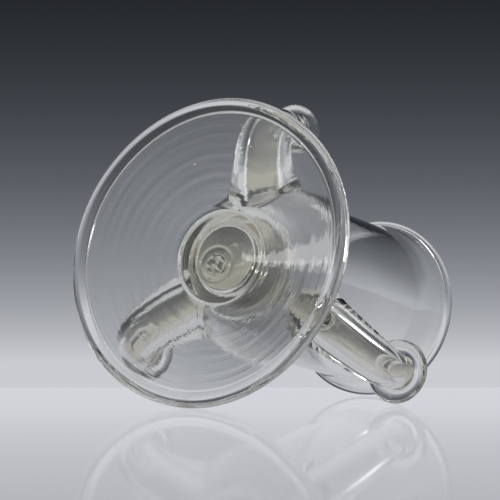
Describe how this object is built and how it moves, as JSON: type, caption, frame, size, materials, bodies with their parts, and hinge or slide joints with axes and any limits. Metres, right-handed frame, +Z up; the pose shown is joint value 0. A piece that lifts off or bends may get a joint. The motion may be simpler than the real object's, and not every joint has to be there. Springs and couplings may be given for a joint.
{
  "type": "footed glass bowl with spouts",
  "caption": "Clear free-blown glass vessel: a cylindrical bowl on a short stem and folded foot, with upturned spouts from its base that end in thick lip rings.",
  "frame": {"origin": "centre of the ring under the foot that the vessel rests on", "axes": "+Z up, square to the foot's resting ring; +X within 4 degrees of spout_1; the bowl leans 3.6 degrees from +Z towards an azimuth of 143 degrees"},
  "size_m": [0.1313, 0.1334, 0.1358],
  "materials": {
    "clear_glass": "gloss"
  },
  "bodies": {
    "root": {"foot": "clear_glass", "pontil_mark": "clear_glass", "stem": "clear_glass", "collar": "clear_glass", "bowl": "clear_glass", "spout_1": "clear_glass", "spout_2": "clear_glass", "spout_3": "clear_glass", "spout_lip_1": "clear_glass", "spout_lip_2": "clear_glass", "spout_lip_3": "clear_glass"}
  },
  "joints": []
}
